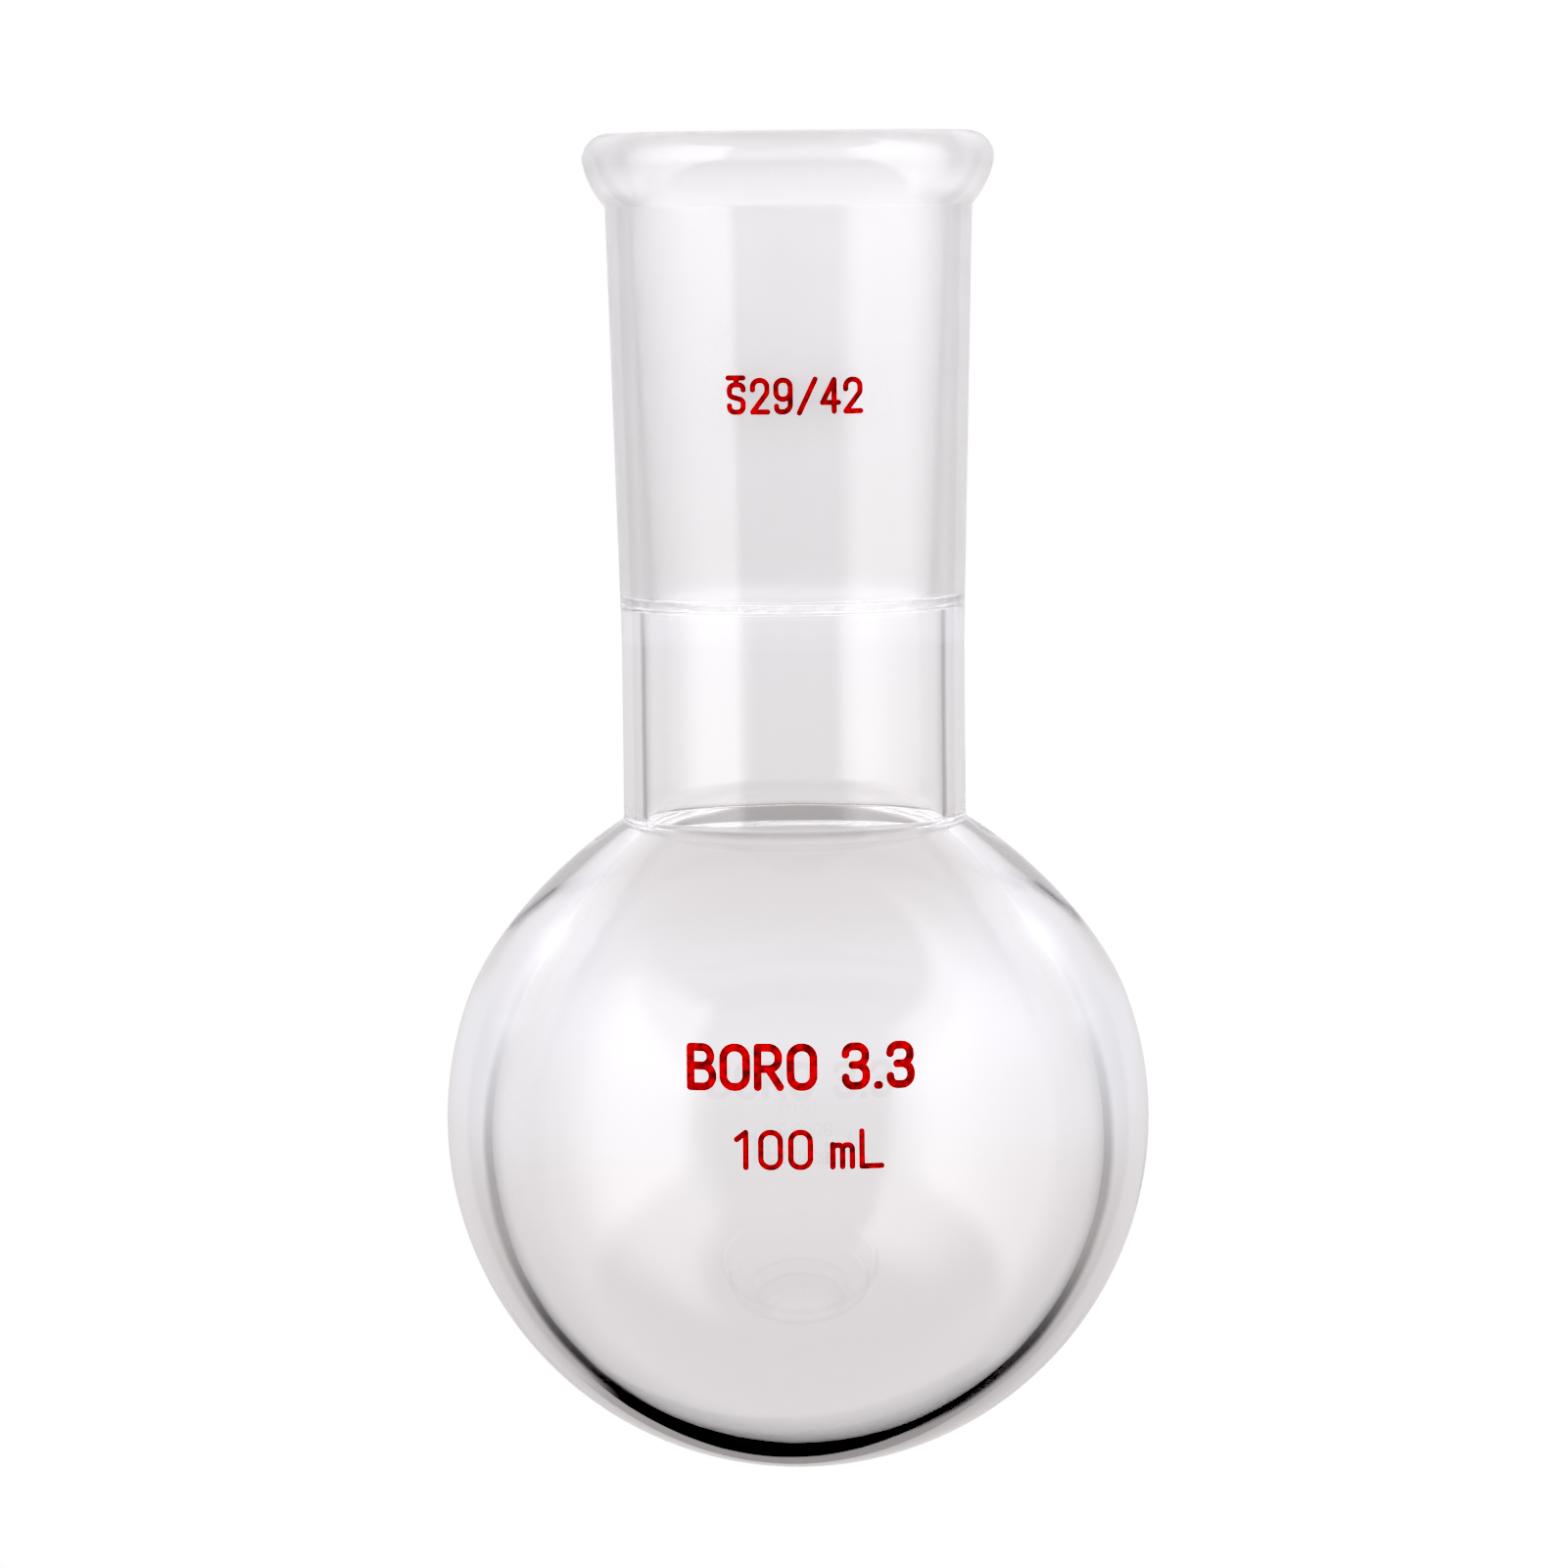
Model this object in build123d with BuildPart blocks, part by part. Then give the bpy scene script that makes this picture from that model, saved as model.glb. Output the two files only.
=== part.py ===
from build123d import *
import math
import os

# Round bottom flask, 100 mL, with a 29/42 ground socket, in millimetres.
# The origin is the lowest point of the bulb, +Z runs up the axis, and the marks face -Y.
# Three glass pieces are sealed end to end: the blown bulb with a short collar, a plain neck
# tube, and the ground socket with its beaded mouth. Three marks of red enamel are fired on.

# Bulb: each shoulder leaves its sphere at the start angle, in degrees above the middle, and
# runs in to the neck's wall at the top slope. The pulls set how far it holds each direction.
BULB_R = 32.0
SHOULDER_START_ANGLE = 20
SHOULDER_START_PULL = 7.0
SHOULDER_TOP_Z = 59.4
SHOULDER_TOP_SLOPE = 32
SHOULDER_TOP_PULL = 6.0
SHOULDER_FILLET = 0.6
COLLAR_TOP_Z = 61.0

# Bulb's cavity
BULB_BOTTOM_WALL = 2.7
CAVITY_R = 27.85
CAVITY_START_ANGLE = 38
CAVITY_START_PULL = 4.5
THROAT_Z = 57.3
THROAT_SLOPE = 40
THROAT_PULL = 4.0
THROAT_FILLET = 1.5

# Neck tube
NECK_R = 15.55
NECK_BORE_R = 13.5
NECK_TOP_Z = 75.5

# Ground socket: the bore is a 1:10 taper, 29.2 mm wide at the mouth and 42 mm long
HEIGHT = 121.5
TAPER_MOUTH_R = 14.6
TAPER_LENGTH = 42.0
TAPER_PER_MM = 0.05
MOUTH_FILLET = 0.5
SHELF_FALL = 0.8
SHELF_TOP_FILLET = 0.4
SHELF_FOOT_FILLET = 0.5

# Bead round the mouth
BEAD_R = 18.64
BEAD_CORNER_R = 2.4
BEAD_FOOT_R = 16.61
BEAD_FOOT_Z = HEIGHT - 6.6
BEAD_FLANK_BULGE = 0.34

# Enamel marks: heights over all, and the line's width
ENAMEL = 0.05
JOINT_MARK_HEIGHT = 3.25
JOINT_MARK_LINE = 0.45
JOINT_MARK_Z = 98.1
JOINT_MARK_LEFT_X = -5.65
JOINT_MARK_PITCH = 2.06
JOINT_MARK_NARROW = 0.87
CAPACITY_MARK_HEIGHT = 3.5
CAPACITY_MARK_LINE = 0.46
CAPACITY_MARK_Z = 33.1
CAPACITY_MARK_LEFT_X = -5.65
GLASS_MARK_HEIGHT = 4.0
GLASS_MARK_LINE = 0.66
GLASS_MARK_Z = 40.2
GLASS_MARK_LEFT_X = -9.7

# Strokes of the marks' plain lettering, as the middle of the line, with the letter's height
# as 1. Each stroke is its corners and then the radius at each inner corner.
GLYPHS = {
    "taper": [
        ([(-0.04, 1.08), (0.50, 1.08)], []),
        ([(0.25, 1.08), (0.25, 0.86)], []),
        (
            [(0.50, 0.70), (0.50, 0.86), (0, 0.86), (0, 0.50), (0.50, 0.38), (0.50, 0), (0, 0), (0, 0.20)],
            [0.15, 0.19, 0.18, 0.18, 0.19, 0.19],
        ),
    ],
    "0": [
        ([(0.28, 1), (0, 1), (0, 0), (0.28, 0)], [0.26, 0.26]),
        ([(0.28, 0), (0.56, 0), (0.56, 1), (0.28, 1)], [0.26, 0.26]),
    ],
    "1": [([(0, 0.80), (0.26, 1.0), (0.26, 0)], [0])],
    "2": [([(0, 0.70), (0, 1), (0.52, 1), (0.52, 0.60), (0, 0), (0.54, 0)], [0.25, 0.25, 0.25, 0])],
    "3": [
        ([(0, 0.80), (0, 1), (0.52, 1), (0.52, 0.53), (0.18, 0.53)], [0.19, 0.22, 0.22]),
        ([(0.18, 0.53), (0.54, 0.53), (0.54, 0), (0, 0), (0, 0.22)], [0.24, 0.24, 0.20]),
    ],
    "4": [
        ([(0.42, 0), (0.42, 1), (0, 0.28)], [0]),
        ([(0, 0.28), (0.58, 0.28)], []),
    ],
    "9": [
        ([(0.26, 1), (0, 1), (0, 0.40), (0.26, 0.40)], [0.25, 0.25]),
        ([(0.26, 0.40), (0.52, 0.40), (0.52, 1), (0.26, 1)], [0.25, 0.25]),
        ([(0.52, 0.70), (0.52, 0), (0.02, 0), (0.02, 0.18)], [0.27, 0.16]),
    ],
    "/": [([(0, -0.04), (0.58, 1.02)], [])],
    ".": [([(0.04, 0), (0.08, 0)], [])],
    "m": [
        ([(0, 0), (0, 0.64)], []),
        ([(0, 0.40), (0, 0.62), (0.28, 0.62), (0.28, 0)], [0.12, 0.12]),
        ([(0.28, 0.40), (0.28, 0.62), (0.56, 0.62), (0.56, 0)], [0.12, 0.12]),
    ],
    "B": [
        ([(0, 0), (0, 1)], []),
        ([(0, 1), (0.52, 1), (0.52, 0.53), (0, 0.53)], [0.22, 0.22]),
        ([(0, 0.53), (0.57, 0.53), (0.57, 0), (0, 0)], [0.25, 0.25]),
    ],
    "L": [([(0, 1), (0, 0), (0.56, 0)], [0])],
    "O": [
        ([(0.30, 1), (0, 1), (0, 0), (0.30, 0)], [0.28, 0.28]),
        ([(0.30, 0), (0.60, 0), (0.60, 1), (0.30, 1)], [0.28, 0.28]),
    ],
    "R": [
        ([(0, 0), (0, 1)], []),
        ([(0, 1), (0.54, 1), (0.54, 0.46), (0, 0.46)], [0.25, 0.25]),
        ([(0.28, 0.46), (0.58, 0)], []),
    ],
}

os.makedirs("parts", exist_ok=True)


def taper_r(z):
    """Radius of the ground bore at a height."""
    return TAPER_MOUTH_R + (z - HEIGHT) * TAPER_PER_MM


def outer_r(z):
    """Radius of the socket's outside, which narrows from the bead down to the neck tube."""
    share = (z - NECK_TOP_Z) / (BEAD_FOOT_Z - NECK_TOP_Z)
    return NECK_R + share * (BEAD_FOOT_R - NECK_R)


def draw_mark(letters, left_x, middle_z, height, line, narrow=1.0):
    """Draws letters in the current sketch. Each letter is its name and its left edge in mm."""
    scale = height - line
    base_z = middle_z - scale / 2
    for name, letter_x in letters:
        first_x = left_x + letter_x + line / 2
        for corners, radii in GLYPHS[name]:
            points = [(first_x + u * scale * narrow, base_z + v * scale) for u, v in corners]
            with BuildLine(mode=Mode.PRIVATE) as stroke:
                if radii:
                    FilletPolyline(*points, radius=[radius * scale * narrow for radius in radii])
                else:
                    Line(*points)
            SlotArc(stroke.wire(), line)


def shoulder_handles(sphere_r, sphere_z, start_angle, start_pull, top_r, top_z, top_slope, top_pull):
    """The four handles of the curve from a sphere up to the neck's inner or outer wall."""
    start = math.radians(start_angle)
    slope = math.radians(top_slope)
    start_r = sphere_r * math.cos(start)
    start_z = sphere_z + sphere_r * math.sin(start)
    return [
        (start_r, start_z),
        (start_r - start_pull * math.sin(start), start_z + start_pull * math.cos(start)),
        (top_r + top_pull * math.cos(slope), top_z - top_pull * math.sin(slope)),
        (top_r, top_z),
    ]


# ---- Bulb: a sphere with a flatter shoulder and a short collar, blown thinner at the bottom ----
cavity_z = BULB_BOTTOM_WALL + CAVITY_R
outer_shoulder = shoulder_handles(
    BULB_R,
    BULB_R,
    SHOULDER_START_ANGLE,
    SHOULDER_START_PULL,
    NECK_R,
    SHOULDER_TOP_Z,
    SHOULDER_TOP_SLOPE,
    SHOULDER_TOP_PULL,
)
inner_shoulder = shoulder_handles(
    CAVITY_R,
    cavity_z,
    CAVITY_START_ANGLE,
    CAVITY_START_PULL,
    NECK_BORE_R,
    THROAT_Z,
    THROAT_SLOPE,
    THROAT_PULL,
)

with BuildPart() as bulb:
    with BuildSketch(Plane.XZ) as bulb_section:
        with BuildLine():
            CenterArc((0, BULB_R), BULB_R, -90, 90 + SHOULDER_START_ANGLE)
            Bezier(*outer_shoulder)
            Line((NECK_R, SHOULDER_TOP_Z), (NECK_R, COLLAR_TOP_Z))
            Line((NECK_R, COLLAR_TOP_Z), (NECK_BORE_R, COLLAR_TOP_Z))
            Line((NECK_BORE_R, COLLAR_TOP_Z), (NECK_BORE_R, THROAT_Z))
            Bezier(*inner_shoulder)
            CenterArc((0, cavity_z), CAVITY_R, -90, 90 + CAVITY_START_ANGLE)
            Line((0, BULB_BOTTOM_WALL), (0, 0))
        make_face()
        shoulder_corner = [v for v in bulb_section.vertices() if abs(v.Y - SHOULDER_TOP_Z) < 0.01]
        throat_corner = [v for v in bulb_section.vertices() if abs(v.Y - THROAT_Z) < 0.01]
        fillet(shoulder_corner, SHOULDER_FILLET)
        fillet(throat_corner, THROAT_FILLET)
    revolve(axis=Axis.Z)
bulb.part.label = "bulb"
export_step(bulb.part, "parts/bulb.step")

# ---- Neck tube: plain parallel tube between the collar and the socket ----
with BuildPart() as neck_tube:
    with BuildSketch(Plane.XY.offset(COLLAR_TOP_Z)):
        Circle(NECK_R)
        Circle(NECK_BORE_R, mode=Mode.SUBTRACT)
    extrude(amount=NECK_TOP_Z - COLLAR_TOP_Z)
neck_tube.part.label = "neck_tube"
export_step(neck_tube.part, "parts/neck_tube.step")

# ---- Ground socket: tapered ground bore, rounded shelf below it, beaded flat mouth ----
taper_foot_z = HEIGHT - TAPER_LENGTH
shelf_foot_z = taper_foot_z - SHELF_FALL
bead_widest_z = HEIGHT - BEAD_CORNER_R
mouth_flat_r = BEAD_R - BEAD_CORNER_R
flank_run = BEAD_R - BEAD_FOOT_R
flank_rise = bead_widest_z - BEAD_FOOT_Z
flank_length = math.hypot(flank_run, flank_rise)

with BuildPart() as ground_socket:
    with BuildSketch(Plane.XZ) as socket_section:
        with BuildLine():
            Line((NECK_BORE_R, NECK_TOP_Z), (NECK_R, NECK_TOP_Z))
            Line((NECK_R, NECK_TOP_Z), (BEAD_FOOT_R, BEAD_FOOT_Z))
            ThreePointArc(
                (BEAD_FOOT_R, BEAD_FOOT_Z),
                (
                    BEAD_FOOT_R + flank_run / 2 + BEAD_FLANK_BULGE * flank_rise / flank_length,
                    BEAD_FOOT_Z + flank_rise / 2 - BEAD_FLANK_BULGE * flank_run / flank_length,
                ),
                (BEAD_R, bead_widest_z),
            )
            CenterArc((mouth_flat_r, bead_widest_z), BEAD_CORNER_R, 0, 90)
            Line((mouth_flat_r, HEIGHT), (taper_r(HEIGHT), HEIGHT))
            Line((taper_r(HEIGHT), HEIGHT), (taper_r(taper_foot_z), taper_foot_z))
            Line((taper_r(taper_foot_z), taper_foot_z), (NECK_BORE_R, shelf_foot_z))
            Line((NECK_BORE_R, shelf_foot_z), (NECK_BORE_R, NECK_TOP_Z))
        make_face()
        corners = socket_section.vertices()
        mouth = [v for v in corners if abs(v.X - taper_r(HEIGHT)) < 0.01 and abs(v.Y - HEIGHT) < 0.01]
        shelf_top = [v for v in corners if abs(v.Y - taper_foot_z) < 0.01]
        shelf_foot = [v for v in corners if abs(v.Y - shelf_foot_z) < 0.01]
        fillet(mouth, MOUTH_FILLET)
        fillet(shelf_top, SHELF_TOP_FILLET)
        fillet(shelf_foot, SHELF_FOOT_FILLET)
    revolve(axis=Axis.Z)
ground_socket.part.label = "ground_socket"
export_step(ground_socket.part, "parts/ground_socket.step")

# ---- Joint size mark, 29/42 after the standard taper sign, on the socket's cone ----
joint_letters = [
    (name, column * JOINT_MARK_PITCH)
    for column, name in enumerate(["taper", "2", "9", "/", "4", "2"])
]
cone_height = BEAD_FOOT_Z - NECK_TOP_Z
with BuildPart() as joint_size_mark:
    with BuildSketch(Plane.XZ):
        draw_mark(
            joint_letters,
            JOINT_MARK_LEFT_X,
            JOINT_MARK_Z,
            JOINT_MARK_HEIGHT,
            JOINT_MARK_LINE,
            JOINT_MARK_NARROW,
        )
    extrude(amount=BEAD_R)
    with Locations((0, 0, NECK_TOP_Z + cone_height / 2)):
        Cone(NECK_R + ENAMEL, BEAD_FOOT_R + ENAMEL, cone_height, mode=Mode.INTERSECT)
        Cone(NECK_R, BEAD_FOOT_R, cone_height, mode=Mode.SUBTRACT)
joint_size_mark.part.label = "joint_size_mark"
export_step(joint_size_mark.part, "parts/joint_size_mark.step")

# ---- Glass type mark, plain capitals on the upper front of the bulb ----
glass_letters = [("B", 0), ("O", 2.85), ("R", 5.85), ("O", 8.7)]
glass_letters += [("3", 13.5), (".", 16.15), ("3", 17.4)]
with BuildPart() as glass_type_mark:
    with BuildSketch(Plane.XZ):
        draw_mark(glass_letters, GLASS_MARK_LEFT_X, GLASS_MARK_Z, GLASS_MARK_HEIGHT, GLASS_MARK_LINE)
    extrude(amount=BULB_R + 1)
    with Locations((0, 0, BULB_R)):
        Sphere(BULB_R + ENAMEL, mode=Mode.INTERSECT)
        Sphere(BULB_R, mode=Mode.SUBTRACT)
glass_type_mark.part.label = "glass_type_mark"
export_step(glass_type_mark.part, "parts/glass_type_mark.step")

# ---- Capacity mark, 100 mL, at the bulb's widest part ----
capacity_letters = [("1", 0), ("0", 2.1), ("0", 4.7), ("m", 8.35), ("L", 10.9)]
with BuildPart() as capacity_mark:
    with BuildSketch(Plane.XZ):
        draw_mark(
            capacity_letters,
            CAPACITY_MARK_LEFT_X,
            CAPACITY_MARK_Z,
            CAPACITY_MARK_HEIGHT,
            CAPACITY_MARK_LINE,
        )
    extrude(amount=BULB_R + 1)
    with Locations((0, 0, BULB_R)):
        Sphere(BULB_R + ENAMEL, mode=Mode.INTERSECT)
        Sphere(BULB_R, mode=Mode.SUBTRACT)
capacity_mark.part.label = "capacity_mark"
export_step(capacity_mark.part, "parts/capacity_mark.step")

wall_cc = sum(glass.part.volume for glass in (bulb, neck_tube, ground_socket)) / 1000
print("glass volume, cc", round(wall_cc, 2))
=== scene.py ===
"""Round bottom flask, 100 mL, with a 29/42 ground socket: the looks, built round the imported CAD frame."""

import math

import bmesh
import bpy
from mathutils import Matrix, Vector, geometry


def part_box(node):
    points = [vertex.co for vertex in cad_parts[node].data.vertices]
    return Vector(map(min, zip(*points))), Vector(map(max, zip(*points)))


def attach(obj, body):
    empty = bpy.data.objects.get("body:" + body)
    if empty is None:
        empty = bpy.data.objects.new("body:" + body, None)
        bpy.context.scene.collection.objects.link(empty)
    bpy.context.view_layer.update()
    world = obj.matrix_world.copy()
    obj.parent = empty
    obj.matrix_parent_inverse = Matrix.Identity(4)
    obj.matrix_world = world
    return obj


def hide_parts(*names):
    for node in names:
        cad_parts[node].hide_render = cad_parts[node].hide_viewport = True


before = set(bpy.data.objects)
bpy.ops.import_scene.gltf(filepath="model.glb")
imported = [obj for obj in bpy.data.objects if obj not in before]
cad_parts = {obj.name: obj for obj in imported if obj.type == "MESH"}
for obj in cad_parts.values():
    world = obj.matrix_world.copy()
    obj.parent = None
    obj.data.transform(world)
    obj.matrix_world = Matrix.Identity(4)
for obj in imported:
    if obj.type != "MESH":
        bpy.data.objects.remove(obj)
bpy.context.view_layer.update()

MM = 0.001
BODY = "root"

# ---------------------------------------------------------------- sizes, in millimetres
BULB_R = 32.0
BULB_BOTTOM_WALL = 2.7
CAVITY_R = 27.85
CAVITY_Z = BULB_BOTTOM_WALL + CAVITY_R
# A shoulder is a curve from its sphere to the neck's wall: the angle above the sphere's middle where it
# starts and its pull there, then its height and slope at the wall and its pull there.
SHOULDER = (20, 7.0, 59.4, 32, 6.0)
CAVITY_SHOULDER = (38, 4.5, 57.3, 40, 4.0)
SHOULDER_FILLET = 0.6
THROAT_FILLET = 1.5
NECK_R = 15.55
NECK_BORE_R = 13.5
COLLAR_TOP_Z = round(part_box("bulb")[1][2] / MM, 2)
NECK_TOP_Z = round(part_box("neck_tube")[1][2] / MM, 2)
HEIGHT = round(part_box("ground_socket")[1][2] / MM, 2)
TAPER_MOUTH_R = 14.6
TAPER_LENGTH = 42.0
TAPER_PER_MM = 0.05
MOUTH_FILLET = 0.5
SHELF_FALL = 0.8
SHELF_TOP_FILLET = 0.4
SHELF_FOOT_FILLET = 0.5
BEAD_R = 18.64
BEAD_CORNER_R = 2.4
BEAD_FOOT_R = 16.61
BEAD_FOOT_Z = HEIGHT - 6.6
BEAD_FLANK_BULGE = 0.34

AROUND = 192  # faces round the axis
ARC_STEP = 2.5  # degrees between profile points on the two spheres
FLANK_ARC_STEP = 3  # degrees, on the bead's flank
BEAD_ARC_STEP = 6  # degrees, on the bead's corner
SHOULDER_STEPS = 32
ROUNDING_STEPS = 8
ROUNDING_CLEARANCE = 0.1  # millimetres with no profile point before a rounding
COLLAR_SPACING = 1.0  # millimetres between profile points on the straight walls
NECK_SPACING = 2.5
SOCKET_SPACING = 3.0
SHARP_EDGE = 35  # degrees between two faces from which their edge is sharp
SAME_POINT = 1e-6  # millimetres

# ---------------------------------------------------------------- profile helpers


def arc(centre, radius, start, end, step=ARC_STEP):
    """Points on an arc, with its angles in degrees."""
    count = max(4, math.ceil(abs(end - start) / step))
    angles = [math.radians(start + (end - start) * i / count) for i in range(count + 1)]
    return [(centre[0] + radius * math.cos(a), centre[1] + radius * math.sin(a)) for a in angles]


def round_corner(before, corner, after, radius):
    """Points of the arc that rounds a corner between two straight runs."""
    start = (Vector(before) - Vector(corner)).normalized()
    end = (Vector(after) - Vector(corner)).normalized()
    half = start.angle(end) / 2
    centre = Vector(corner) + (start + end).normalized() * (radius / math.sin(half))
    first = Vector(corner) + start * (radius / math.tan(half))
    last = Vector(corner) + end * (radius / math.tan(half))
    points = []
    for i in range(ROUNDING_STEPS + 1):
        way = (first - centre).lerp(last - centre, i / ROUNDING_STEPS)
        points.append(tuple(centre + way.normalized() * radius))
    return points


def straight(start, end, spacing):
    """Points from start to end, without start, at about the spacing."""
    count = max(1, round(math.dist(start, end) / spacing))
    return [tuple(Vector(start).lerp(Vector(end), i / count)) for i in range(1, count + 1)]


def bezier(points, steps):
    """Points on a cubic Bezier curve."""
    handles = [Vector((x, y, 0)) for x, y in points]
    return [tuple(p.xy) for p in geometry.interpolate_bezier(*handles, steps + 1)]


def cut_back(points, tip, reach):
    """The part of a run of points that is at least a distance away from its tip."""
    return [p for p in points if math.dist(p, tip) > reach]


# ---------------------------------------------------------------- turned glass

CLEAR, GROUND, SEAL = 0, 1, 2


def turned(name, runs, materials):
    """A closed solid of revolution. Each run is (points, material), and the runs join up in a loop, or
    start and end on the axis. The faces that lead to a point get its material."""
    profile, slots = [], []
    for points, slot in runs:
        for point in points:
            if profile and math.dist(profile[-1], point) < SAME_POINT:
                continue
            profile.append(point)
            slots.append(slot)
    if math.dist(profile[0], profile[-1]) < SAME_POINT:
        profile.pop()
        slots[0] = slots.pop()
    mesh = bmesh.new()
    turns = [2 * math.pi * i / AROUND for i in range(AROUND)]
    rings = []
    for r, z in profile:
        if r < SAME_POINT:
            rings.append([mesh.verts.new((0, 0, z * MM))])
            continue
        rings.append([mesh.verts.new((r * MM * math.cos(t), r * MM * math.sin(t), z * MM)) for t in turns])
    for k, here in enumerate(rings):
        following = (k + 1) % len(rings)
        after, slot = rings[following], slots[following]
        if len(here) == 1 and len(after) == 1:
            continue
        for i in range(AROUND):
            j = (i + 1) % AROUND
            if len(here) == 1:
                corners = (here[0], after[j], after[i])
            elif len(after) == 1:
                corners = (here[i], here[j], after[0])
            else:
                corners = (here[i], here[j], after[j], after[i])
            face = mesh.faces.new(corners)
            face.smooth = True
            face.material_index = slot
    bmesh.ops.recalc_face_normals(mesh, faces=mesh.faces)
    data = bpy.data.meshes.new(name)
    mesh.to_mesh(data)
    mesh.free()
    data.set_sharp_from_angle(angle=math.radians(SHARP_EDGE))
    for material in materials:
        data.materials.append(material)
    piece = bpy.data.objects.new(name, data)
    bpy.context.scene.collection.objects.link(piece)
    return piece


def shoulder_curve(radius, centre_z, top_r, start_angle, start_pull, top_z, top_slope, top_pull):
    """A shoulder, flatter than the sphere, from the sphere up to the neck's wall."""
    start, slope = math.radians(start_angle), math.radians(top_slope)
    start_r, start_z = radius * math.cos(start), centre_z + radius * math.sin(start)
    first = (start_r - start_pull * math.sin(start), start_z + start_pull * math.cos(start))
    last = (top_r + top_pull * math.cos(slope), top_z - top_pull * math.sin(slope))
    return bezier([(start_r, start_z), first, last, (top_r, top_z)], SHOULDER_STEPS)


def bulb_wall(radius, centre_z, top_r, shoulder, fillet):
    """The bulb's outside or inside, from the bottom up to the top of its collar."""
    curve = shoulder_curve(radius, centre_z, top_r, *shoulder)
    corner, collar = curve[-1], (top_r, COLLAR_TOP_Z)
    rounded = round_corner(curve[-2], corner, collar, fillet)
    wall = arc((0, centre_z), radius, -90, shoulder[0])
    wall += cut_back(curve[1:], corner, math.dist(rounded[0], corner) + ROUNDING_CLEARANCE)
    return wall + rounded + straight(rounded[-1], collar, COLLAR_SPACING)


def bulb_runs():
    """The bulb: up its outside, across the seal on its collar, and down its inside."""
    outside = bulb_wall(BULB_R, BULB_R, NECK_R, SHOULDER, SHOULDER_FILLET)
    inside = bulb_wall(CAVITY_R, CAVITY_Z, NECK_BORE_R, CAVITY_SHOULDER, THROAT_FILLET)[::-1]
    return [(outside, CLEAR), (inside[:1], SEAL), (inside[1:], CLEAR)]


def neck_runs():
    """The neck tube: a plain tube with a seal at each end."""
    low, high = COLLAR_TOP_Z, NECK_TOP_Z
    outside = [(NECK_R, low)] + straight((NECK_R, low), (NECK_R, high), NECK_SPACING)
    inside = straight((NECK_BORE_R, high), (NECK_BORE_R, low), NECK_SPACING)
    return [(outside, CLEAR), ([(NECK_BORE_R, high)], SEAL), (inside, CLEAR), ([(NECK_R, low)], SEAL)]


def taper_r(z):
    """Radius of the ground bore at a height."""
    return TAPER_MOUTH_R + (z - HEIGHT) * TAPER_PER_MM


def socket_runs():
    """The ground socket: its cone, bead, mouth, ground bore and shelf, and the seal at its foot."""
    taper_foot_z = HEIGHT - TAPER_LENGTH
    shelf_foot_z = taper_foot_z - SHELF_FALL
    widest_z = HEIGHT - BEAD_CORNER_R
    flat_r = BEAD_R - BEAD_CORNER_R
    foot, widest = Vector((BEAD_FOOT_R, BEAD_FOOT_Z)), Vector((BEAD_R, widest_z))
    chord = widest - foot
    flank_r = chord.length**2 / (8 * BEAD_FLANK_BULGE) + BEAD_FLANK_BULGE / 2
    out = Vector((chord.y, -chord.x)).normalized()
    centre = (foot + widest) / 2 - out * (flank_r - BEAD_FLANK_BULGE)
    from_angle = math.degrees(math.atan2(foot.y - centre.y, foot.x - centre.x))
    to_angle = math.degrees(math.atan2(widest.y - centre.y, widest.x - centre.x))
    outside = [(NECK_R, NECK_TOP_Z)] + straight((NECK_R, NECK_TOP_Z), tuple(foot), SOCKET_SPACING)
    outside += arc(tuple(centre), flank_r, from_angle, to_angle, FLANK_ARC_STEP)[1:]
    outside += arc((flat_r, widest_z), BEAD_CORNER_R, 0, 90, BEAD_ARC_STEP)[1:]
    mouth = (taper_r(HEIGHT), HEIGHT)
    taper_foot = (taper_r(taper_foot_z), taper_foot_z)
    shelf_foot = (NECK_BORE_R, shelf_foot_z)
    mouth_round = round_corner((flat_r, HEIGHT), mouth, taper_foot, MOUTH_FILLET)
    top_round = round_corner(mouth, taper_foot, shelf_foot, SHELF_TOP_FILLET)
    foot_round = round_corner(taper_foot, shelf_foot, (NECK_BORE_R, NECK_TOP_Z), SHELF_FOOT_FILLET)
    ground = straight(mouth_round[-1], top_round[0], SOCKET_SPACING)
    inside = top_round + foot_round + [(NECK_BORE_R, NECK_TOP_Z)]
    return [
        (outside, CLEAR),
        (mouth_round, CLEAR),
        (ground, GROUND),
        (inside, CLEAR),
        ([(NECK_R, NECK_TOP_Z)], SEAL),
    ]


# ---------------------------------------------------------------- materials


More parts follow.
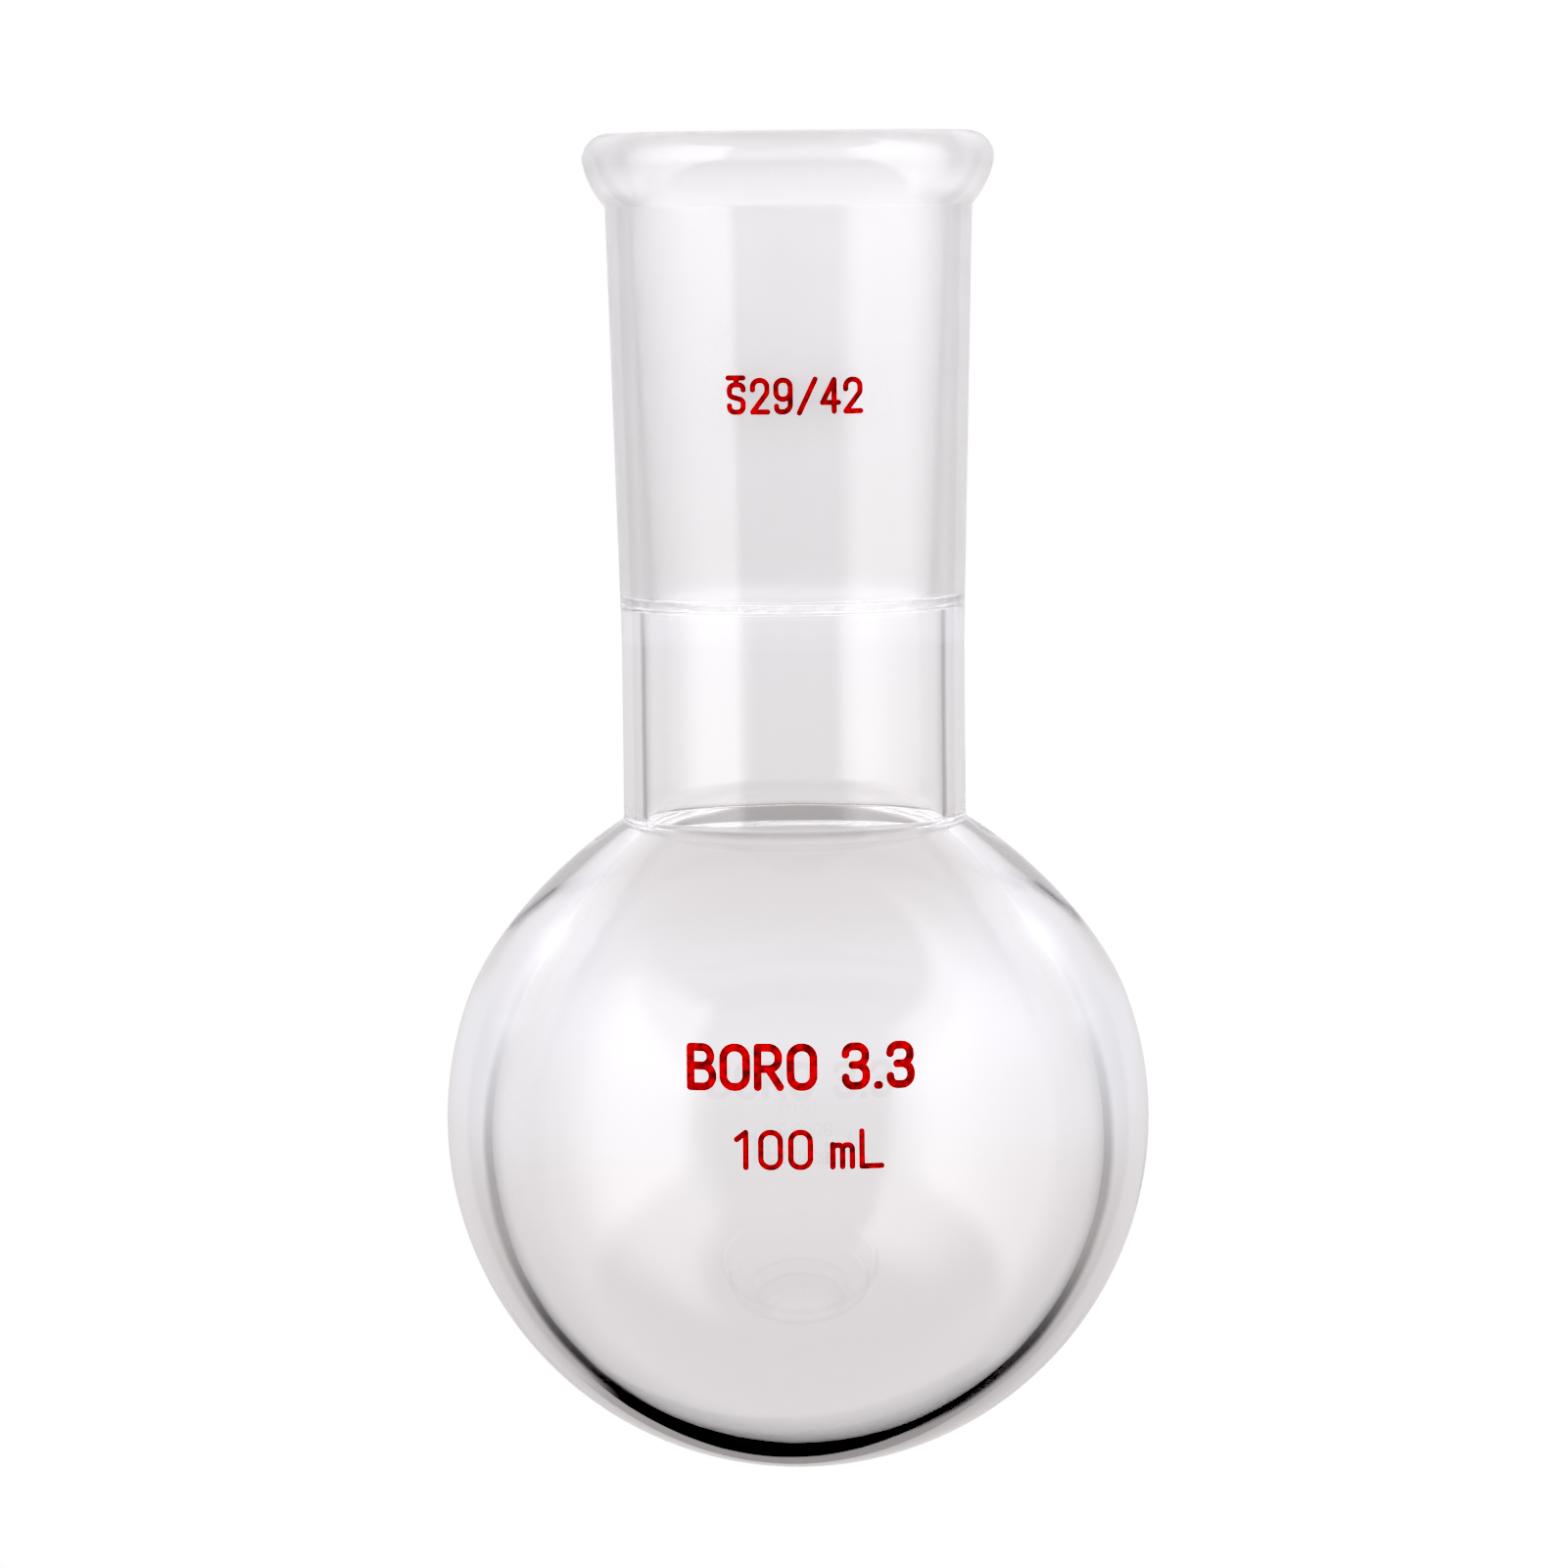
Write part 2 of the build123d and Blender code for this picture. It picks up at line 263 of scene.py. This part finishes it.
class Nodes:
    """A small helper that wires up a node tree. An input is a socket or a plain value."""

    def __init__(self, tree):
        self.tree = tree
        tree.nodes.clear()

    def add(self, kind, inputs=None, **settings):
        node = self.tree.nodes.new(kind)
        for name, value in settings.items():
            setattr(node, name, value)
        for name, value in (inputs or {}).items():
            if isinstance(value, bpy.types.NodeSocket):
                self.tree.links.new(value, node.inputs[name])
            else:
                node.inputs[name].default_value = value
        return node

    def maths(self, operation, *values):
        inputs = dict(enumerate(values))
        return self.add("ShaderNodeMath", inputs, operation=operation).outputs[0]

    def maths_vector(self, operation, *values):
        inputs = dict(enumerate(values))
        return self.add("ShaderNodeVectorMath", inputs, operation=operation).outputs[0]

    def ramp_value(self, value, start, end, first, last):
        """first up to start, then a smooth change, and last from end on."""
        inputs = {"Value": value, "From Min": start, "From Max": end, "To Min": first, "To Max": last}
        return self.add("ShaderNodeMapRange", inputs, interpolation_type="SMOOTHSTEP").outputs["Result"]

    def rise(self, value, start, end):
        return self.ramp_value(value, start, end, 0.0, 1.0)

    def window(self, value, from_0, from_1, to_1, to_0):
        """0 up to from_0, 1 from from_1 to to_1, and 0 again from to_0 on."""
        return self.maths("MULTIPLY", self.rise(value, from_0, from_1), self.rise(value, to_0, to_1))


def new_material(name):
    material = bpy.data.materials.new(name)
    material.use_nodes = True
    return material, Nodes(material.node_tree)


GLASS_IOR = 1.473  # borosilicate glass 3.3
WAVES_PER_METRE = 90.0
CLEAR_WAVE_HEIGHT = 0.00003  # metres
GROUND_WAVE_HEIGHT = 0.00001
GROUND_ROUGHNESS = 0.25
GROUND_TRANSMISSION = 0.5


def glass_material(name, roughness, wave_height, transmission):
    """Glass with faint waves in its surface. What it doesn't transmit, it scatters as a white matt."""
    material, nodes = new_material(name)
    place = nodes.add("ShaderNodeTexCoord").outputs["Object"]
    waves = nodes.add(
        "ShaderNodeTexNoise",
        {"Vector": place, "Scale": WAVES_PER_METRE, "Detail": 2.0, "Roughness": 0.4},
    )
    bump = nodes.add(
        "ShaderNodeBump",
        {"Strength": 1.0, "Distance": wave_height, "Height": waves.outputs["Fac"]},
    )
    shader = nodes.add(
        "ShaderNodeBsdfPrincipled",
        {
            "Base Color": (1.0, 1.0, 1.0, 1.0),
            "Roughness": roughness,
            "IOR": GLASS_IOR,
            "Transmission Weight": transmission,
            "Normal": bump.outputs["Normal"],
        },
    )
    nodes.add("ShaderNodeOutputMaterial", {"Surface": shader.outputs["BSDF"]})
    return material


def seal_material():
    """The seals between the glass pieces are fused, so light passes them as if they weren't there."""
    material, nodes = new_material("fused_seal")
    shader = nodes.add("ShaderNodeBsdfTransparent")
    nodes.add("ShaderNodeOutputMaterial", {"Surface": shader.outputs["BSDF"]})
    return material


clear_glass = glass_material("clear_borosilicate", 0.0, CLEAR_WAVE_HEIGHT, 1.0)
ground_glass = glass_material(
    "ground_matt_glass",
    GROUND_ROUGHNESS,
    GROUND_WAVE_HEIGHT,
    GROUND_TRANSMISSION,
)
fused_seal = seal_material()

# ---------------------------------------------------------------- glass pieces

for name, runs in (("bulb", bulb_runs()), ("neck_tube", neck_runs()), ("ground_socket", socket_runs())):
    piece = turned(f"{name}_glass", runs, (clear_glass, ground_glass, fused_seal))
    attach(piece, BODY)
    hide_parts(name)


# ---------------------------------------------------------------- enamel


ENAMEL_PATCHES_PER_METRE = 1500.0
# the noise's value and the colour there
ENAMEL_DARK = (0.35, (0.14, 0.0, 0.0, 1.0))
ENAMEL_BRIGHT = (0.62, (0.54, 0.0, 0.0, 1.0))


def enamel_material():
    """Dark red enamel, mottled where the print is thinner or thicker."""
    material, nodes = new_material("fired_red_enamel")
    place = nodes.add("ShaderNodeTexCoord").outputs["Object"]
    patches = nodes.add(
        "ShaderNodeTexNoise",
        {"Vector": place, "Scale": ENAMEL_PATCHES_PER_METRE, "Detail": 3.0},
    )
    tint = nodes.add("ShaderNodeValToRGB", {"Fac": patches.outputs["Fac"]})
    for stop, (position, colour) in zip(tint.color_ramp.elements, (ENAMEL_DARK, ENAMEL_BRIGHT)):
        stop.position = position
        stop.color = colour
    shader = nodes.add(
        "ShaderNodeBsdfPrincipled",
        {"Base Color": tint.outputs["Color"], "Roughness": 0.45, "Specular IOR Level": 0.15},
    )
    nodes.add("ShaderNodeOutputMaterial", {"Surface": shader.outputs["BSDF"]})
    return material


enamel = enamel_material()
for name in ("joint_size_mark", "glass_type_mark", "capacity_mark"):
    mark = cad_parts[name].data
    mark.materials.clear()
    mark.materials.append(enamel)

# ---------------------------------------------------------------- stage

# The white of the background has a strength of 1. Angles are in degrees: azimuth from straight ahead of
# the marks, -Y, positive towards +X, elevation from the horizon, and off_back from +Y.
WARM = (1.0, 0.955, 0.958, 1.0)  # the light from below
COOL = (1.0, 0.986, 1.022, 1.0)  # and from above
TINT_ELEVATION = (-10, 1)  # where the one turns into the other
# elevation and strength: the tent has the first strength below the first elevation, and the second above
# the second
ROOM_LOW = (-12, 0.70)
ROOM_HIGH = (1, 0.835)
# elevation where it starts, elevation where it is full, and how much it adds or takes away there
ROOM_TOP = (6, 36, 0.62)
FLOOR_SHADE = (-13, -42, 0.27)
# through the glass the floor's shade shows only near the back: gone at the first angle, full at the second
FLOOR_SHADE_OFF_BACK = (68, 46)
# The flags are a ring round +Y, with its inner edge from and to, and its outer edge from and to. They darken
# the tent by a share: elevation where it starts, elevation where it is full, and the share there.
FLAG_OFF_BACK = (39, 45, 50, 59)
FLAG_UPPER = (22, -8, 0.45)
FLAG_LOWER = (-14, -34, 0.46)
# side, inner edge from and to, where it starts to fade, where it ends, top edge, its rise per degree
SOFTBOXES = (
    (-1, 31, 41, 54, 108, 46, 0.1),
    (1, 28, 47, 74, 114, 30, 0.5),
)
SOFTBOX_STRENGTH = 1.4
SOFTBOX_BOTTOM = -9
SOFTBOX_BOTTOM_FALL = 0.5  # per degree outwards
SOFTBOX_EDGE = 5
SOFTBOX_OUTSIDE_BOOST = 0.8  # how much stronger they are in the outer surface's reflections
# The painted shade on the floor: a black arc in front of the bulb's foot, seen only in the glass's
# reflections, that stands in for the dark under the flask. In millimetres. Its back edge is a parabola. Its
# ends are gone at the first distance from the middle, and it is full at the second.
FLOOR_PAINTED_SHADE_Y = -6.1
FLOOR_PAINTED_SHADE_TILT = -0.11
FLOOR_PAINTED_SHADE_BEND = 0.012
FLOOR_PAINTED_SHADE_WIDTH = 8.5
FLOOR_PAINTED_SHADE_BACK_BLUR = 0.3
FLOOR_PAINTED_SHADE_FRONT_BLUR = 1.0
FLOOR_PAINTED_SHADE_ENDS = (30, 20)
FLOOR_DROP = 0.2  # millimetres
FLOOR_HALF_SIZE = 2.0  # metres
BLACK_LEVEL = 0.09  # strengths up to this come out black
BOUNCES = 64


def softbox_share(nodes, path, reflected):
    """How much of the softboxes a ray gets. They light the glass by reflection and on its matt surface,
    and aren't seen straight through it or along its walls, so it stands out from all sides. A ray counts
    the surfaces that it has passed through: none off the outside, and three or more by the far wall."""
    scattered = nodes.maths("GREATER_THAN", path.outputs["Diffuse Depth"], 0.5)
    outside = nodes.maths("LESS_THAN", path.outputs["Transmission Depth"], 0.5)
    far_wall = nodes.maths("GREATER_THAN", path.outputs["Transmission Depth"], 2.5)
    boost = nodes.maths("MULTIPLY_ADD", reflected, SOFTBOX_OUTSIDE_BOOST, 1.0)
    off_outside = nodes.maths("MULTIPLY", outside, boost)
    off_inside = nodes.maths("MAXIMUM", scattered, nodes.maths("MULTIPLY", reflected, far_wall))
    off_inside = nodes.maths("MULTIPLY", off_inside, nodes.maths("SUBTRACT", 1.0, outside))
    return nodes.maths("ADD", off_outside, off_inside)


def world_light():
    """A pale tent round the flask, with two tall softboxes in front and grey flags behind. The camera sees
    plain white in its place, and only reflected light sees the flags."""
    world = bpy.data.worlds.new("studio")
    world.use_nodes = True
    nodes = Nodes(world.node_tree)
    way = nodes.add("ShaderNodeTexCoord").outputs["Generated"]
    split = nodes.add("ShaderNodeSeparateXYZ", {"Vector": nodes.maths_vector("NORMALIZE", way)})
    x, y, z = (split.outputs[axis] for axis in "XYZ")
    azimuth = nodes.maths("DEGREES", nodes.maths("ARCTAN2", x, nodes.maths("MULTIPLY", y, -1.0)))
    elevation = nodes.maths("DEGREES", nodes.maths("ARCSINE", z))
    off_back = nodes.maths("DEGREES", nodes.maths("ARCCOSINE", y))

    room = nodes.ramp_value(elevation, ROOM_LOW[0], ROOM_HIGH[0], ROOM_LOW[1], ROOM_HIGH[1])
    room = nodes.maths("ADD", room, nodes.ramp_value(elevation, ROOM_TOP[0], ROOM_TOP[1], 0.0, ROOM_TOP[2]))
    path = nodes.add("ShaderNodeLightPath")
    reflected = nodes.maths("GREATER_THAN", path.outputs["Glossy Depth"], 0.5)
    shade = nodes.ramp_value(elevation, FLOOR_SHADE[0], FLOOR_SHADE[1], 0.0, FLOOR_SHADE[2])
    shade_share = nodes.maths("MAXIMUM", reflected, nodes.rise(off_back, *FLOOR_SHADE_OFF_BACK))
    room = nodes.maths("SUBTRACT", room, nodes.maths("MULTIPLY", shade, shade_share))
    upper = nodes.ramp_value(elevation, FLAG_UPPER[0], FLAG_UPPER[1], 0.0, FLAG_UPPER[2])
    lower = nodes.ramp_value(elevation, FLAG_LOWER[0], FLAG_LOWER[1], 0.0, FLAG_LOWER[2])
    flag = nodes.maths("MULTIPLY", nodes.window(off_back, *FLAG_OFF_BACK), nodes.maths("ADD", upper, lower))
    flag = nodes.maths("MULTIPLY", flag, reflected)
    room = nodes.maths("MULTIPLY", room, nodes.maths("SUBTRACT", 1.0, flag))
    share = softbox_share(nodes, path, reflected)
    for side, inner, full, fade, outer, top, rise in SOFTBOXES:
        along = nodes.maths("MULTIPLY", azimuth, float(side))
        past_edge = nodes.maths("SUBTRACT", along, float(inner))
        above_bottom = nodes.maths("MULTIPLY_ADD", past_edge, SOFTBOX_BOTTOM_FALL, elevation)
        above_bottom = nodes.rise(above_bottom, SOFTBOX_BOTTOM - SOFTBOX_EDGE, SOFTBOX_BOTTOM + SOFTBOX_EDGE)
        below_top = nodes.maths("MULTIPLY_ADD", past_edge, -rise, elevation)
        below_top = nodes.rise(below_top, top + SOFTBOX_EDGE, top - SOFTBOX_EDGE)
        glow = nodes.maths("MULTIPLY", nodes.window(along, inner, full, fade, outer), SOFTBOX_STRENGTH)
        glow = nodes.maths("MULTIPLY", glow, share)
        glow = nodes.maths("MULTIPLY", glow, nodes.maths("MULTIPLY", above_bottom, below_top))
        room = nodes.maths("ADD", room, glow)
    cool_share = nodes.rise(elevation, *TINT_ELEVATION)
    tint = nodes.add("ShaderNodeMixRGB", {"Fac": cool_share, "Color1": WARM, "Color2": COOL}).outputs["Color"]
    seen = nodes.add("ShaderNodeBackground", {"Color": (1.0, 1.0, 1.0, 1.0), "Strength": 1.0})
    lit = nodes.add("ShaderNodeBackground", {"Color": tint, "Strength": room})
    mix = nodes.add(
        "ShaderNodeMixShader",
        {0: path.outputs["Is Camera Ray"], 1: lit.outputs[0], 2: seen.outputs[0]},
    )
    nodes.add("ShaderNodeOutputWorld", {"Surface": mix.outputs[0]})
    bpy.context.scene.world = world


def floor_material():
    """White to the camera. The glass sees the tent through it, and mirrors a black arc of painted shade in
    front of its foot, which stands in for the dark under the flask."""
    material, nodes = new_material("floor_white")
    path = nodes.add("ShaderNodeLightPath")
    place = nodes.add("ShaderNodeTexCoord").outputs["Object"]
    in_mm = nodes.add("ShaderNodeVectorMath", {0: place, "Scale": 1 / MM}, operation="SCALE").outputs[0]
    split = nodes.add("ShaderNodeSeparateXYZ", {"Vector": in_mm})
    x, y = split.outputs["X"], split.outputs["Y"]
    slope = nodes.maths("MULTIPLY_ADD", x, FLOOR_PAINTED_SHADE_BEND, FLOOR_PAINTED_SHADE_TILT)
    edge_y = nodes.maths("MULTIPLY_ADD", x, slope, FLOOR_PAINTED_SHADE_Y)
    across = nodes.maths("SUBTRACT", edge_y, y)
    # painted shade: the black arc on the floor, which only reflected rays see
    mark = nodes.window(
        across,
        -FLOOR_PAINTED_SHADE_BACK_BLUR,
        FLOOR_PAINTED_SHADE_BACK_BLUR,
        FLOOR_PAINTED_SHADE_WIDTH,
        FLOOR_PAINTED_SHADE_WIDTH + FLOOR_PAINTED_SHADE_FRONT_BLUR,
    )
    ends = nodes.rise(nodes.maths("ABSOLUTE", x), *FLOOR_PAINTED_SHADE_ENDS)
    reflected = nodes.maths("GREATER_THAN", path.outputs["Glossy Depth"], 0.5)
    painted_shade_share = nodes.maths("MULTIPLY", nodes.maths("MULTIPLY", mark, ends), reflected)
    dark = nodes.add("ShaderNodeEmission", {"Color": (0.0, 0.0, 0.0, 1.0), "Strength": 0.0})
    clear = nodes.add("ShaderNodeBsdfTransparent")
    to_glass = nodes.add("ShaderNodeMixShader", {0: painted_shade_share, 1: clear.outputs[0], 2: dark.outputs[0]})
    to_camera = nodes.add("ShaderNodeEmission", {"Strength": 1.0})
    mix = nodes.add(
        "ShaderNodeMixShader",
        {0: path.outputs["Is Camera Ray"], 1: to_glass.outputs[0], 2: to_camera.outputs[0]},
    )
    nodes.add("ShaderNodeOutputMaterial", {"Surface": mix.outputs[0]})
    return material


def floor():
    """The white floor, a little below the bulb so that it doesn't touch it."""
    mesh = bmesh.new()
    bmesh.ops.create_grid(mesh, x_segments=1, y_segments=1, size=FLOOR_HALF_SIZE)
    data = bpy.data.meshes.new("floor")
    mesh.to_mesh(data)
    mesh.free()
    data.materials.append(floor_material())
    piece = bpy.data.objects.new("floor", data)
    bpy.context.scene.collection.objects.link(piece)
    piece.location.z = -FLOOR_DROP * MM


CAMERA_LENS = 161.93  # on a 36 mm sensor
CAMERA_CLIP_END = 20.0  # metres
CAMERA_PLACE = (-0.96, -640.0, 115.0)  # millimetres
CAMERA_PITCH = 4.70  # degrees, looking down
CAMERA_ROLL = 0.62


def camera():
    """The camera, just below the mouth's height and looking slightly down along +Y."""
    data = bpy.data.cameras.new("camera")
    data.sensor_width = 36.0
    data.lens = CAMERA_LENS
    data.clip_end = CAMERA_CLIP_END
    piece = bpy.data.objects.new("camera", data)
    bpy.context.scene.collection.objects.link(piece)
    pitch = Matrix.Rotation(math.radians(90 - CAMERA_PITCH), 4, "X")
    roll = Matrix.Rotation(math.radians(-CAMERA_ROLL), 4, "Z")
    piece.matrix_world = Matrix.Translation([v * MM for v in CAMERA_PLACE]) @ pitch @ roll
    bpy.context.scene.camera = piece


world_light()
floor()
camera()

scene = bpy.context.scene
scene.view_settings.view_transform = "Standard"
scene.view_settings.use_curve_mapping = True
scene.view_settings.curve_mapping.black_level = (BLACK_LEVEL,) * 3
scene.view_settings.curve_mapping.update()
scene.cycles.max_bounces = BOUNCES
scene.cycles.transmission_bounces = BOUNCES
scene.cycles.glossy_bounces = BOUNCES
scene.cycles.transparent_max_bounces = BOUNCES
scene.cycles.caustics_reflective = True
scene.cycles.caustics_refractive = True
